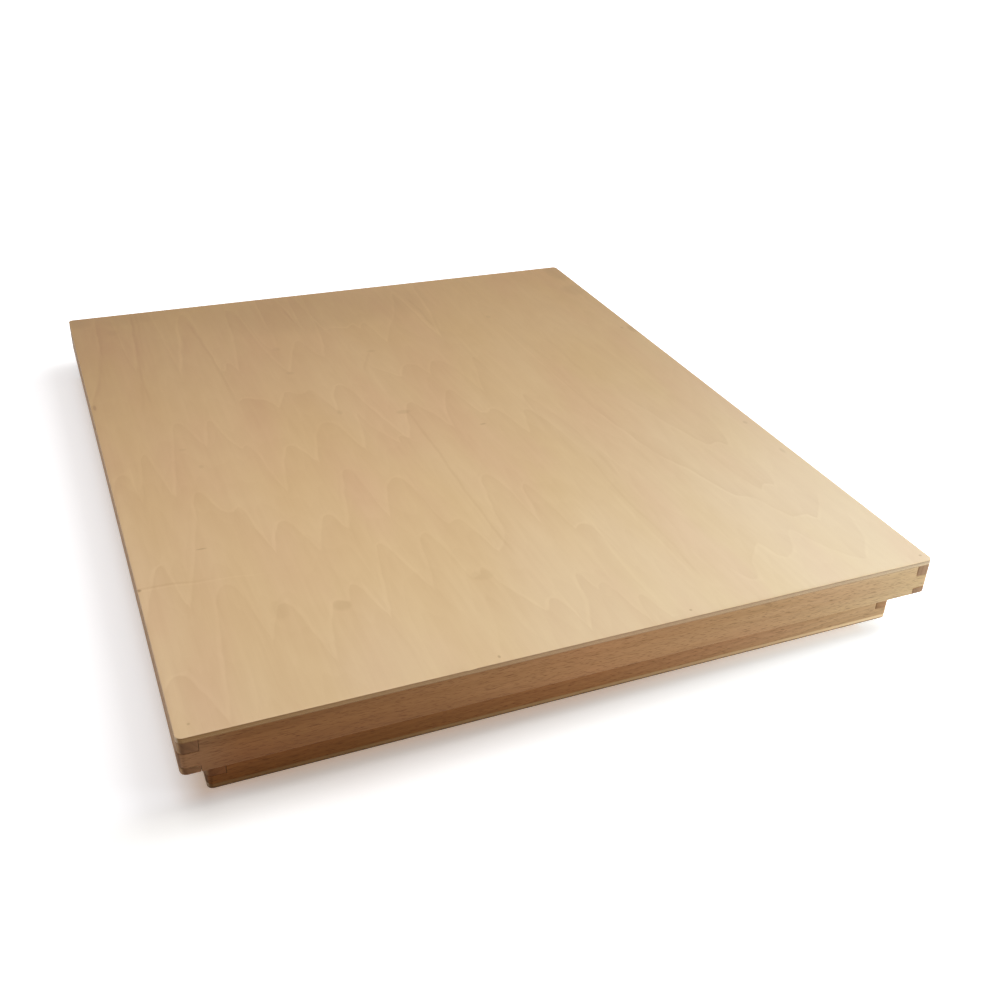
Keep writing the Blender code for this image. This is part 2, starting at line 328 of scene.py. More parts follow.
# The growth lines on the lid's top, as a peeled veneer shows them: x from the left edge and y from the
# front edge, in mm. A third value of 1 is a sharp point, and the rest are rounded. Before its points, a row
# says how dark its shade is, how pale its edge, how far the shade reaches, 1 for a shade in front of the line
# or -1 for one behind it, and where it begins and ends.
veneerRows = [
    # the front row of flames
    (0.05, 0.023, 34, 1, (0, 276), [
        (0, 36), (9, 47), (18, 32), (27, 3, 1), (31, 41), (36, 82), (41, 111), (47, 118), (53, 108),
        (57, 83), (60, 58, 1), (66, 78), (73, 90), (79, 78), (83, 54), (87, 29, 1), (91, 54), (96, 73),
        (101, 83), (107, 80), (113, 95), (118, 89), (121, 74), (125, 58, 1), (131, 89), (136, 116),
        (141, 130), (147, 112), (152, 91), (156, 74, 1), (162, 105), (166, 127), (171, 132), (176, 115),
        (180, 77, 1), (185, 79), (190, 86), (194, 68), (200, 52), (208, 33, 1), (216, 44), (223, 9, 1),
        (233, 34), (240, 62), (243, 40, 1), (249, 48), (255, 25), (258, 3, 1), (264, 30), (270, 5, 1),
        (450, 0)]),
    # the second row
    (0.058, 0.024, 36, 1, (0, 277), [
        (0, 97), (8, 129), (17, 149), (20, 125), (24, 101, 1), (30, 127), (37, 160), (44, 196), (50, 225),
        (56, 213), (61, 197), (66, 194), (71, 199), (75, 178), (81, 141, 1), (87, 166), (93, 174),
        (99, 162), (106, 133, 1), (113, 158), (121, 172), (126, 161), (129, 150, 1), (134, 175),
        (140, 202), (148, 223), (153, 204), (154, 178), (156, 156, 1), (162, 178), (168, 196), (175, 202),
        (181, 192), (184, 161), (187, 136, 1), (195, 140), (199, 134), (202, 115), (205, 97, 1),
        (214, 109), (224, 163), (232, 186), (238, 174), (242, 115, 1), (247, 148), (252, 166), (257, 140),
        (260, 105, 1), (266, 109), (271, 105), (274, 56, 1), (450, 56)]),
    # the third row
    (0.052, 0.024, 38, 1, (0, 206), [
        (0, 239), (9, 262), (16, 221, 1), (21, 262), (26, 286), (29, 270), (33, 244), (36, 220, 1),
        (40, 246), (44, 276), (48, 305), (53, 325), (58, 319), (62, 301), (67, 284, 1), (71, 303),
        (76, 322), (80, 304), (84, 287), (89, 272, 1), (93, 277), (98, 254), (101, 225), (104, 206, 1),
        (109, 232), (114, 255), (121, 267), (127, 257), (133, 238, 1), (138, 262), (144, 281), (152, 292),
        (158, 289), (163, 266), (168, 244, 1), (172, 262), (176, 286), (178, 300), (181, 279), (187, 262),
        (193, 246, 1), (197, 256), (203, 244, 1), (450, 244)]),
    # the fourth row, with the long point by the middle
    (0.063, 0.026, 46, 1, (96, 314), [
        (0, 540), (94, 504), (98, 443), (100, 392), (101, 344, 1), (107, 349), (114, 345), (121, 341),
        (127, 325, 1), (132, 338), (139, 350), (147, 343), (151, 344), (155, 348), (160, 335),
        (166, 305, 1), (169, 326), (173, 342), (178, 349), (184, 341), (188, 319), (192, 294), (197, 268),
        (201, 249, 1), (207, 268), (213, 292), (221, 304), (226, 291), (231, 280), (234, 264),
        (237, 256, 1), (241, 283), (248, 304), (256, 315), (259, 301), (263, 272, 1), (268, 270),
        (274, 275), (279, 268), (282, 248), (285, 230, 1), (291, 252), (297, 266), (303, 252), (308, 219),
        (312, 178), (450, 178)]),
    # the short row behind the middle
    (0.052, 0.024, 40, 1, (206, 326), [
        (0, 540), (195, 540), (212, 374), (222, 358), (228, 347, 1), (233, 360), (240, 369), (247, 364),
        (251, 344, 1), (256, 360), (262, 369), (269, 365), (274, 346), (279, 302, 1), (284, 326),
        (290, 347), (295, 366), (298, 352), (299, 321), (299.5, 290), (300, 253, 1), (303, 272),
        (306, 291), (309, 280), (313, 262), (317, 235), (321, 195), (326, 158), (450, 158)]),
    # points that come forward from the back edge, left
    (0.052, 0.027, 60, 1, (0, 203), [
        (0, 367), (6, 394), (13, 428), (18, 474), (22, 540), (31, 540), (35, 474), (38, 417, 1), (43, 455),
        (48, 520), (54, 540), (63, 540), (67, 474), (70, 404, 1), (76, 439), (81, 476), (86, 517),
        (91, 525), (95, 504), (98, 443), (102, 400), (107, 415), (112, 396, 1), (118, 433), (123, 476),
        (128, 523), (133, 520), (137, 474), (141, 423), (149, 381, 1), (157, 408), (163, 427), (171, 441),
        (175, 418), (182, 401, 1), (190, 443), (195, 504), (200, 540), (450, 540)]),
    # points that come forward from the back edge, middle
    (0.05, 0.037, 50, 1, (138, 306), [
        (0, 540), (136, 540), (141, 453), (146, 431), (150, 426, 1), (153, 451), (156, 540), (171, 540),
        (176, 504), (179, 460, 1), (182, 494), (185, 540), (190, 535), (193, 484), (197, 455, 1),
        (205, 458), (215, 454), (222, 460), (226, 448, 1), (233, 461), (236, 443), (238, 414, 1),
        (243, 427), (251, 447), (261, 466), (268, 488), (274, 509), (278, 520), (281, 466), (284, 408, 1),
        (290, 443), (296, 480), (300, 527), (305, 540), (450, 540)]),
    # broad points on the right, one inside another
    (0.065, 0.027, 26, -1, (336, 432), [
        (0, 540), (330, 540), (345, 262), (350, 213), (352, 197), (355, 177), (361, 158), (366, 146),
        (369, 132), (373, 117), (377, 106), (384, 101), (389, 94), (392, 82), (397, 70, 1), (406, 70),
        (411, 63, 1), (420, 74), (432, 91), (440, 110), (450, 199)]),
    (0.058, 0.026, 40, -1, (376, 421), [
        (0, 540), (370, 540), (374, 301), (378, 252), (382, 235), (386, 213), (391, 193), (395, 178),
        (399, 172), (405, 174), (411, 166, 1), (415, 177), (419, 195), (423, 227), (428, 262), (436, 331),
        (450, 423)]),
    (0.043, 0.024, 30, -1, (326, 436), [
        (0, 540), (320, 540), (326, 56), (336, 19), (344, 36), (352, 45), (358, 51), (362, 37),
        (367, 32, 1), (375, 38), (382, 53), (387, 58), (391, 47), (396, 34), (402, 23), (411, 14, 1),
        (418, 24), (425, 34), (432, 56), (450, 97)]),
    (0.054, 0.022, 20, -1, (388, 420), [
        (0, 540), (384, 540), (390, 160), (393, 126), (397, 105, 1), (404, 112), (410, 108, 1), (414, 118),
        (417, 145), (421, 235), (424, 540), (450, 540)]),
]

# Long straight lines with the grain: x at each y, in mm, how strong (above zero is light) and how wide.
veneerLines = [
    ([(96, 213.5), (133, 212.2), (173, 212.4), (228, 213.7), (280, 213.6), (291, 213)], -0.066, 1.1),
    ([(366, 205), (376, 208), (388, 213), (402, 219)], -0.055, 1.3),
    ([(15, 270.5), (56, 269.5), (97, 272), (109, 273.5)], 0.035, 1.1),
    ([(31, 302.5), (56, 303), (107, 301.5), (140, 303)], 0.027, 1.2),
    ([(36, 307), (76, 308.5), (127, 306.5), (183, 309)], -0.043, 1.1),
    ([(156, 316), (174, 317), (194, 318)], -0.047, 1.4),
    ([(34, 317), (46, 316), (64, 317)], 0.031, 1.0),
    ([(144, 329), (150, 329.5), (160, 331)], 0.031, 1.3),
    ([(306, 369), (331, 367), (362, 368.5), (382, 367)], -0.027, 1.6),
    ([(335, 352), (352, 350), (368, 349)], -0.031, 1.2),
    ([(231, 361), (245, 360), (264, 359)], -0.031, 1.1),
    ([(435, 287), (451, 286.5), (466, 287), (504, 286)], -0.07, 1.3),
    ([(436, 288), (470, 289.5), (540, 290)], -0.035, 4.0),
    ([(423, 284.5), (450, 283), (480, 281.5), (510, 280)], 0.039, 1.5),
    ([(425, 290), (440, 293), (452, 295.5)], 0.031, 1.3),
    ([(350, 35.5), (380, 38), (430, 43.5), (480, 47), (540, 49)], -0.039, 1.3),
    ([(420, 45.5), (480, 50.5), (520, 53), (540, 54)], -0.031, 1.1),
    ([(340, 99), (400, 98.5), (440, 97), (480, 94), (506, 91.5)], -0.047, 1.3),
    ([(372, 3), (400, 9), (430, 13), (460, 17), (500, 20.5), (532, 22)], -0.039, 1.6),
    ([(474, 178.5), (490, 176), (512, 174)], -0.047, 1.3),
    ([(446, 198.5), (462, 196), (482, 193)], 0.039, 1.5),
    ([(362, 41), (423, 42), (484, 46), (540, 50)], -0.035, 1.0),
    ([(402, 52), (443, 54), (504, 56), (540, 58)], -0.027, 1.1),
    ([(397, 71), (423, 73), (453, 78), (509, 85)], 0.039, 2.2),
    ([(235, 12), (270, 14), (301, 11), (346, 9)], 0.035, 4.0),
    ([(4, 4), (60, 5), (127, 4), (240, 4)], 0.04, 3.0),
]

# Small brown marks on the top: place, half length along y, half width along x, and how brown
veneerMarks = [
    (7.6, 9.2, 0.9, 0.8, 0.3), (167.3, 5.8, 1.2, 0.8, 0.4), (283.9, 6.5, 0.9, 0.9, 0.4),
    (445.3, 6.4, 0.9, 1.1, 0.4), (440, 383, 1.8, 1.3, 0.22), (258.3, 253.6, 1, 2.4, 0.32),
    (339, 441, 3.2, 2.2, 0.12), (210.7, 290.2, 3.2, 5.5, 0.16), (221, 402, 2.2, 4, 0.12),
    (2.6, 366.5, 4.5, 1.2, 0.4), (40.7, 158.4, 0.8, 3.2, 0.3), (58.5, 257, 2.6, 1.8, 0.12),
    (51, 284, 1.8, 2.6, 0.1), (149, 381, 2.6, 3.4, 0.1), (166.5, 304, 3.4, 2, 0.11),
    (149.5, 429, 3.6, 3.2, 0.09), (442, 194, 2.4, 1.6, 0.2), (443, 148, 4, 1.4, 0.16),
    (0.6, 127.4, 1.4, 1.6, 0.55),
    # broad soft darkenings: those along the back edge are painted shade, the rest the veneer's own
    (200, 500, 45, 95, 0.13), (443, 524, 20, 9, 0.16), (441, 478, 13, 12, 0.1), (5, 531, 12, 12, 0.16),
    (48, 527, 12, 22, 0.07), (31, 502, 6, 5, 0.08), (218, 500, 14, 6, 0.08), (127, 506, 15, 5, 0.1),
    (103, 77, 5, 5, 0.12), (70, 84, 9, 5, 0.07), (187, 78, 5, 7, 0.08), (447, 378, 7, 3, 0.18),
]

# An old score across the grain, from the left edge: x and y in mm, pale on its line and dark behind it. A
# stroke is how far behind the line it lies, its width, its tone, and the two x between which it fades out.
veneerScratch = {
    "points": [(0, 126.5), (18, 126.4), (34, 124), (50, 124), (64, 122), (80, 121), (450, 121)],
    "strokes": [(0, 1.3, 0.035, 56, 80), (2.2, 1.56, -0.085, 18, 48)],
}


def rowCurve(tree, value, points, widthMm, heightMm):
    # a curve through the points, read at value, in mm
    node = addNode(tree, "FloatCurve", {"Value": calc(tree, "DIVIDE", value, widthMm)})
    curve = node.mapping.curves[0]
    spots = [(point[0] / widthMm, point[1] / heightMm, len(point) > 2) for point in points]
    while len(curve.points) < len(spots):
        curve.points.new(0.5, 0.5)
    for spot, (x, y, sharp) in zip(curve.points, spots):
        spot.location = (x, min(max(y, 0.0), 1.0))
        spot.handle_type = "VECTOR" if sharp else "AUTO_CLAMPED"
    node.mapping.update()
    return calc(tree, "MULTIPLY", node.outputs[0], heightMm)


# how the rows, the straight lines and the marks are drawn, in mm
drawing = {
    "slopeStep": 1.8,  # a row's slope is taken over this much of x
    "edgeBehind": 0.8,  # its pale edge lies this far from its line, away from the shade
    "edgeFade": (0.3, 1.8),
    "shadeStart": (-0.2, 1.2),
    "endFade": (3, 9),  # outside and inside each end of its span
    "lineFade": (0.2, 1.5),  # shares of a straight line's width
    "markFade": (0.1, 1.6),
}


def veneerFigure(tree, x, y, widthMm, depthMm, patchy):
    # how much lighter or darker the growth lines make the top veneer
    total = 0.0
    step = drawing["slopeStep"]
    outside, inwards = drawing["endFade"]
    for shadeDepth, edgeTone, reach, side, (first, last), points in veneerRows:
        line = rowCurve(tree, x, points, widthMm, depthMm)
        beside = rowCurve(tree, calc(tree, "ADD", x, step), points, widthMm, depthMm)
        slope = calc(tree, "DIVIDE", calc(tree, "SUBTRACT", beside, line), step)
        steepness = calc(tree, "SQRT", calc(tree, "MULTIPLY_ADD", slope, slope, 1.0))
        ahead = calc(tree, "MULTIPLY", calc(tree, "SUBTRACT", line, y), side)
        away = calc(tree, "DIVIDE", ahead, steepness)
        fromEdge = apart(tree, away, -drawing["edgeBehind"])
        edge = between(tree, fromEdge, *drawing["edgeFade"], edgeTone, 0.0)
        edge = calc(tree, "MULTIPLY", edge, patchy)
        fade = calc(tree, "EXPONENT", calc(tree, "DIVIDE", calc(tree, "MAXIMUM", ahead, 0.0), -reach))
        shade = between(tree, away, *drawing["shadeStart"], 0.0, -shadeDepth)
        shade = calc(tree, "MULTIPLY", shade, fade)
        inside = between(tree, x, last - inwards, last + outside, 1.0, 0.0)
        if first > 0:
            inside = calc(tree, "MULTIPLY", inside, between(tree, x, first - outside, first + inwards))
        total = calc(tree, "MULTIPLY_ADD", calc(tree, "ADD", edge, shade), inside, total)
    for points, tone, width in veneerLines:
        start, end = points[0][0], points[-1][0]
        across = rowCurve(tree, y, [(0, points[0][1])] + points, depthMm, widthMm)
        fadeFrom, fadeTo = [share * width for share in drawing["lineFade"]]
        stripe = between(tree, apart(tree, x, across), fadeFrom, fadeTo, tone, 0.0)
        inside = within(tree, y, start - 8, start + 10, end - 10, end + 4)
        total = calc(tree, "MULTIPLY_ADD", stripe, inside, total)
    return total


def veneerScore(tree, x, y, widthMm, depthMm):
    score = veneerScratch
    away = calc(tree, "SUBTRACT", y, rowCurve(tree, x, score["points"], widthMm, depthMm))
    total = 0.0
    for behind, width, tone, fadeFrom, fadeTo in score["strokes"]:
        stroke = between(tree, apart(tree, away, behind), 0.2, width, tone, 0.0)
        total = calc(tree, "MULTIPLY_ADD", stroke, between(tree, x, fadeFrom, fadeTo, 1.0, 0.0), total)
    return total


def veneerSpots(tree, x, y):
    total = 0.0
    for spotX, spotY, long, wide, depth in veneerMarks:
        sideways = calc(tree, "DIVIDE", calc(tree, "SUBTRACT", x, spotX), wide)
        along = calc(tree, "DIVIDE", calc(tree, "SUBTRACT", y, spotY), long)
        reach = calc(tree, "ADD", calc(tree, "POWER", sideways, 2.0), calc(tree, "POWER", along, 2.0))
        total = calc(tree, "MAXIMUM", total, between(tree, reach, *drawing["markFade"], depth, 0.0))
    return total


def pastLayer(tree, level, border):
    return between(tree, level, border - layerBlur, border + layerBlur)


def glued(tree, edge, level, border, depth, colour):
    # a thin glue line, depth strong, drawn over the edge's colour at a layer's border
    share = between(tree, apart(tree, level, border), *glueRim, depth, 0.0)
    return mixed(tree, share, edge, colour)


def plywoodMaterial(name, corners, panel, figured):
    # corners are the low and the high one in metres; the face veneers run along Y and the core along X
    material, tree, place, facing = startMaterial(name)
    low, high = [[1000 * value for value in corner] for corner in corners]
    widthMm = high[0] - low[0]
    depthMm = high[1] - low[1]
    home = calcVector(tree, "SUBTRACT", {0: place, 1: low})
    x, y, z = addNode(tree, "SeparateXYZ", {0: home}).outputs

    # the face veneers: a pale base with drifts of yellow and pink, fine fibres and short flecks
    broad = noiseAt(tree, home, (0.011, 0.004, 0.02), shift=(2, 7, 0))
    warm = noiseAt(tree, home, (0.022, 0.006, 0.02), shift=(9, 1, 4))
    veneer = mixed(tree, between(tree, broad, 0.35, 0.65), birch["light"], birch["yellow"])
    veneer = mixed(tree, between(tree, warm, 0.42, 0.75, 0.0, 0.8), veneer, birch["pink"])
    fibres = noiseAt(tree, home, (2.6, 0.03, 0.5), 3.0, 0.6)
    streaks = noiseAt(tree, home, (0.28, 0.008, 0.1))
    mottle = noiseAt(tree, home, (0.09, 0.03, 0.1), 3.0, 0.6, shift=(3, 5, 2))
    fleck = spotsAt(tree, home, *birch["flecks"])
    tone = swing(tree, fibres, birch["fibreTone"])
    tone = calc(tree, "ADD", tone, swing(tree, streaks, birch["streakTone"]))
    tone = calc(tree, "ADD", tone, swing(tree, mottle, birch["mottleTone"]))
    tone = calc(tree, "MULTIPLY_ADD", fleck, birch["fleckTone"], tone)

    # flames that a peeled veneer shows everywhere: growth layers met at a shallow slant
    swell = noiseAt(tree, home, (0.030, 0.0035, 0.02), 2.0, 0.45, shift=(4, 3, 0))
    bend = calc(tree, "MULTIPLY", apart(tree, swell, 0.5), birch["flameBend"])
    layer = calc(tree, "FRACT", calc(tree, "MULTIPLY_ADD", y, 1 / birch["flameStep"], bend))
    flame = within(tree, layer, 0.0, 0.9, 0.94, 1.0)
    tone = calc(tree, "MULTIPLY_ADD", flame, -panel["flames"], tone)
    if figured:
        wobble = noiseAt(tree, home, (0.12, 0.05, 0.05), shift=(1, 8, 3))
        swayX = calc(tree, "ADD", x, swing(tree, wobble, birch["wobble"]))
        uneven = noiseAt(tree, home, (0.05, 0.016, 0.05), shift=(6, 2, 9))
        patchy = between(tree, uneven, 0.35, 0.65, 0.25, 1.5)
        tone = calc(tree, "ADD", tone, veneerFigure(tree, swayX, y, widthMm, depthMm, patchy))
        tone = calc(tree, "ADD", tone, veneerScore(tree, x, y, widthMm, depthMm))
    lean = calcVector(tree, "SCALE", {0: birch["darkLean"], 3: tone})
    face = tinted(tree, veneer, calcVector(tree, "ADD", {0: lean, 1: (1.0, 1.0, 1.0)}))
    rightShare = calc(tree, "DIVIDE", x, widthMm, clamp=True)
    if figured:
        # painted light and shade: paler in front with a painted sheen at the front right, darker and yellower
        # at the back
        backShare = calc(tree, "DIVIDE", y, depthMm, clamp=True)
        front = mixed(tree, rightShare, birch["frontLeft"], birch["frontRight"])
        back = mixed(tree, rightShare, birch["backLeft"], birch["backRight"])
        face = tinted(tree, face, mixed(tree, backShare, front, back))
        # the brown marks, with the painted shade of the broad darkenings along the back edge
        face = mixed(tree, veneerSpots(tree, x, y), face, birch["knot"])

    # the edges, from the outer face inwards: end grain of the face veneer, a thin glue line, the pale core
    ripple = noiseAt(tree, home, (0.03, 0.03, 0.0), 3.0)
    deep = calc(tree, "SUBTRACT", high[2] - low[2], z) if figured else z
    level = calc(tree, "ADD", deep, swing(tree, ripple, 0.30))
    grit = noiseAt(tree, home, (1.6, 1.6, 1.6), 3.0, 0.65)
    alongX = between(tree, calc(tree, "ABSOLUTE", facing["X"]), 0.6, 0.9)
    outerEdge = mixed(tree, alongX, birch["edgeEnd"], birch["edgeCore"])
    coreEdge = mixed(tree, alongX, birch["edgeCore"], birch["edgeEnd"])
    innerEdge = mixed(tree, alongX, birch["edgeUnder"], birch["edgeCore"])
    outerGlue, innerGlue = birch["layers"]
    edge = mixed(tree, pastLayer(tree, level, outerGlue), outerEdge, coreEdge)
    edge = mixed(tree, pastLayer(tree, level, innerGlue), edge, innerEdge)
    for border, depth in zip(birch["layers"], birch["glueDepth"]):
        edge = glued(tree, edge, level, border, depth, birch["glue"])
    edge = shaded(tree, edge, grit, 0.22, 0.5)
    # painted shade: the outermost layer's edge is darker where the panel meets the floor
    outermost = between(tree, level, *birch["paintedContactShadeTo"], 1.0, 0.0)
    edge = shaded(tree, edge, outermost, -panel["soiled"])
    # the edges at the left and right get a painted sheen; along the front and back the edge drifts, with
    # painted shade at its left end
    edgeTint = mixed(tree, alongX, drifted(tree, rightShare, panel["edgeDrift"]), birch["paintedSheenSideEdge"])
    edge = tinted(tree, edge, edgeTint)

    flat = between(tree, calc(tree, "ABSOLUTE", facing["Z"]), 0.55, 0.85)
    colour = mixed(tree, flat, edge, face)
    eased = easedShare(tree, facing)
    # the eased edges are lighter: partly handling wear, partly a painted highlight
    colour = shaded(tree, colour, eased, birch["rubbedAndHighlit"])
    roughness = calc(tree, "MULTIPLY_ADD", fibres, 0.10, birch["roughness"])
    roughness = calc(tree, "ADD", roughness, calc(tree, "MULTIPLY_ADD", flat, -0.12, 0.12))
    height = calc(tree, "SUBTRACT", calc(tree, "MULTIPLY", fibres, 0.5), calc(tree, "MULTIPLY", fleck, 0.4))
    finishMaterial(tree, colour, roughness, height, birch)
    return material


# thin plywood for the divider strips
strip = {
    "face": paint(197, 168, 130),
    "faceDark": paint(185, 153, 113),
    "core": paint(158, 125, 90),
    "glue": paint(104, 74, 50),
    "glueDepth": 0.5,
    "veneer": 0.75,  # mm thick on each side
    "roughness": 0.5,
    "bump": 0.3,
    "gloss": 0.3,
}


def stripMaterial(name, across, middle, halfThickness, shift):
    # across is the axis through the strip's thickness; its face veneers run along the strip
    material, tree, place, facing = startMaterial(name)
    x, y, z = addNode(tree, "SeparateXYZ", {0: place}).outputs
    order = (x, y, z) if across == "Y" else (y, x, z)
    moved = alongGrain(tree, order, shift)
    through = apart(tree, order[1], 1000 * middle)
    fibres = noiseAt(tree, moved, (0.035, 0.8, 2.4), 3.0, 0.6)
    bands = noiseAt(tree, moved, (0.007, 0.05, 0.12))
    face = mixed(tree, between(tree, bands, 0.35, 0.7), strip["face"], strip["faceDark"])
    face = shaded(tree, face, fibres, 0.14, 0.5)
    edgeShare = calc(tree, "MAXIMUM", between(tree, calc(tree, "ABSOLUTE", facing["Z"]), 0.5, 0.8),
                     between(tree, calc(tree, "ABSOLUTE", facing["X" if across == "Y" else "Y"]), 0.5, 0.8))
    coreLimit = 1000 * halfThickness - strip["veneer"]
    edge = mixed(tree, pastLayer(tree, through, coreLimit), strip["core"], strip["face"])
    edge = glued(tree, edge, through, coreLimit, strip["glueDepth"], strip["glue"])
    grit = noiseAt(tree, moved, (1.2, 2.0, 2.0), 3.0, 0.65)
    edge = shaded(tree, edge, grit, 0.24, 0.5)
    colour = mixed(tree, edgeShare, face, edge)
    roughness = calc(tree, "MULTIPLY_ADD", fibres, 0.12, strip["roughness"])
    finishMaterial(tree, colour, roughness, fibres, strip)
    return material


# shapes, from here to the lid
weldReach = 1e-6  # metres: corners this close are one
sameHeight = 1e-5
flatUnder = 1  # degrees: faces that meet at less than this are joined up
sharpOver = 50  # degrees: edges that turn more than this are eased
smoothUnder = 32  # degrees: faces that meet at less than this shade as one


def roundedOutline(low, high, radius, inset, cornerSteps, frontStops):
    # corner by corner, anticlockwise from the front left; frontStops adds points along the front edge
    points = []
    turn = radius - inset
    corners = ((low[0] + radius, low[1] + radius, 180), (high[0] - radius, low[1] + radius, 270),
               (high[0] - radius, high[1] - radius, 0), (low[0] + radius, high[1] - radius, 90))
    for number, (middleX, middleY, start) in enumerate(corners):
        for step in range(cornerSteps + 1):
            angle = math.radians(start + 90 * step / cornerSteps)
            points.append((middleX + turn * math.cos(angle), middleY + turn * math.sin(angle)))
        if number == 0:
            points.extend((stop, low[1] + inset) for stop in frontStops)
    return points


def plainName(node):
    # lid_front_rail becomes lidFrontRail
    words = node.split("_")
    return words[0] + "".join(word.capitalize() for word in words[1:])


def finishPiece(name, mesh, material, body, node):
    bmesh.ops.recalc_face_normals(mesh, faces=mesh.faces)
    data = bpy.data.meshes.new(name)
    mesh.to_mesh(data)
    mesh.free()
    data.shade_smooth()
    data.set_sharp_from_angle(angle=math.radians(smoothUnder))
    data.materials.append(material)
    piece = bpy.data.objects.new(name, data)
    scene.collection.objects.link(piece)
    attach(piece, body)
    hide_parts(node)


def panelShape(low, high, panel):
    # rings of points from the bottom face up to the top face, one for each height of the edge's section
    mesh = bmesh.new()
    stops = [stop[0] for stop in panel["nick"]]
    bottom, top = low[2] - panel["glue"][0], high[2] + panel["glue"][1]
    rings = []
    for inset, share in panel["section"]:
        height = bottom + (top - bottom) * share
        outline = roundedOutline(low, high, panel["radius"], inset, panel["cornerSteps"], stops)
        rings.append([mesh.verts.new((x, y, height)) for x, y in outline])
    for lower, upper in zip(rings, rings[1:]):
        for index in range(len(lower)):
            after = (index + 1) % len(lower)
            mesh.faces.new((lower[index], lower[after], upper[after], upper[index]))
    # the nick bites into the three uppermost rings, less into the lowest of them
    for ring, depthShare in zip(rings[-3:], (0.4, 1.0, 1.0)):
        for place, depth, back in panel["nick"]:
            for point in ring:
                if abs(point.co.x - place) < weldReach and point.co.y < 0:
                    point.co.z -= depth * depthShare
                    point.co.y += back * depthShare
    mesh.faces.new(list(reversed(rings[0])))
    mesh.faces.new(rings[-1])
    return mesh


def softenedShape(node, arris, steps, gluedAt=None):
    # the node's shape with its flat faces joined up and each sharp arris eased, but none at the glued height
    mesh = bmesh.new()
    mesh.from_mesh(node.data)
    bmesh.ops.remove_doubles(mesh, verts=mesh.verts, dist=weldReach)
    bmesh.ops.dissolve_limit(mesh, angle_limit=math.radians(flatUnder), verts=mesh.verts, edges=mesh.edges)
    sharp = [edge for edge in mesh.edges
             if edge.is_manifold and edge.calc_face_angle(0.0) > math.radians(sharpOver)
             and (gluedAt is None or any(abs(vert.co.z - gluedAt) > sameHeight for vert in edge.verts))]
    bmesh.ops.bevel(mesh, geom=sharp, offset=arris, offset_type="OFFSET", segments=steps,
                    profile=0.5, affect="EDGES", clamp_overlap=True)
    return mesh


easing = {"arris": 0.00025, "steps": 2}

# What a board has unless its own entry says otherwise. There, shift picks the piece of wood and heart is the
# tree's middle from the board's zero, in mm, sawn tints the end grain and tip the end at the left or front.
plainBoard = {"drift": evenWood, "sawn": noTint, "tip": noTint}


def dressRails(boards, body, seamEnd):
    # seamEnd is 1 where the panel is glued on top of the rails, and 0 where it is glued under them
    for nodeName, board in boards.items():
        wood = beechMaterial(plainName(nodeName) + "Beech", {**plainBoard, **board})
        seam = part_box(nodeName)[seamEnd][2]
        railMesh = softenedShape(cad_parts[nodeName], easing["arris"], easing["steps"], seam)
        finishPiece(plainName(nodeName), railMesh, wood, body, nodeName)


# the lid: a plywood top glued on four rails
lidTop = {
    "radius": 0.0035,
    "cornerSteps": 10,
    # how far in from the outline, and where up the thickness
    "section": [(0.0001, 0.0), (0.00004, 0.02), (0.00004, 0.08), (0.00004, 0.255), (0.00014, 0.265),
                (0.00014, 0.69), (0.00004, 0.70), (0.00004, 0.90), (0.00013, 0.955), (0.00032, 0.99),
                (0.0005, 1.0)],
    "glue": (0.0002, 0.0),  # how far the glue fills the seam below and above
    "flames": 0.018,  # how dark the plain flames are, beside the drawn ones
    "soiled": 0.0,  # how much darker the outermost layer's edge is: painted shade where the panel meets the floor
    # the edge's tint from left to right; its darker, warmer left end is painted shade
    "edgeDrift": ((0.86, 0.69, 0.46, 1.0), (0.93, 0.88, 0.84, 1.0), (0.55, 0.63, 0.69, 1.0)),
    # a nick in the front edge: how far right of the middle, how deep, and how far back
    "nick": [(-0.0786, 0.0, 0.0), (-0.0768, 0.0004, 0.0003), (-0.0757, 0.0009, 0.0007),
             (-0.0746, 0.0006, 0.0004), (-0.0726, 0.0, 0.0)],
}
lidBoards = {
    "lid_front_rail": {"grain": "X", "shift": (40, 3, 5), "heart": (-240, 60), "skew": 0.012, "rise": 0.004,
                       "tone": 0.0, "ringDepth": 0.05, "drift": lidFrontWoodAndPaintedLight, "tip": (1.13, 1.34, 1.75, 1.0)},
    "lid_back_rail": {"grain": "X", "shift": (340, 13, 25), "heart": (310, 90), "skew": -0.02, "rise": 0.01,
                      "tone": -0.01, "ringDepth": 0.07},
    # the left rail's pale drift, raised tone and paler end grain are a painted sheen and reflection
    "lid_left_rail": {"grain": "Y", "shift": (140, 33, 45), "heart": (-190, 70), "skew": 0.015, "rise": -0.01,
                      "tone": 0.16, "ringDepth": 0.07, "drift": paintedSheenWood, "sawn": (1.11, 1.04, 0.96, 1.0)},
    # the right rail's bluer end grain is a painted sheen
    "lid_right_rail": {"grain": "Y", "shift": (540, 53, 65), "heart": (250, 50), "skew": -0.012, "rise": 0.02,
                       "tone": 0.01, "ringDepth": 0.07, "sawn": (0.84, 1.02, 1.22, 1.0)},
}

panelMesh = panelShape(*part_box("lid_panel"), lidTop)
lidPlywood = plywoodMaterial("lidBirchPlywood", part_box("lid_panel"), lidTop, True)
finishPiece("lidTopPanel", panelMesh, lidPlywood, "lid", "lid_panel")
dressRails(lidBoards, "lid", 1)
print("lid dressed: birch top with its figure, four beech rails")


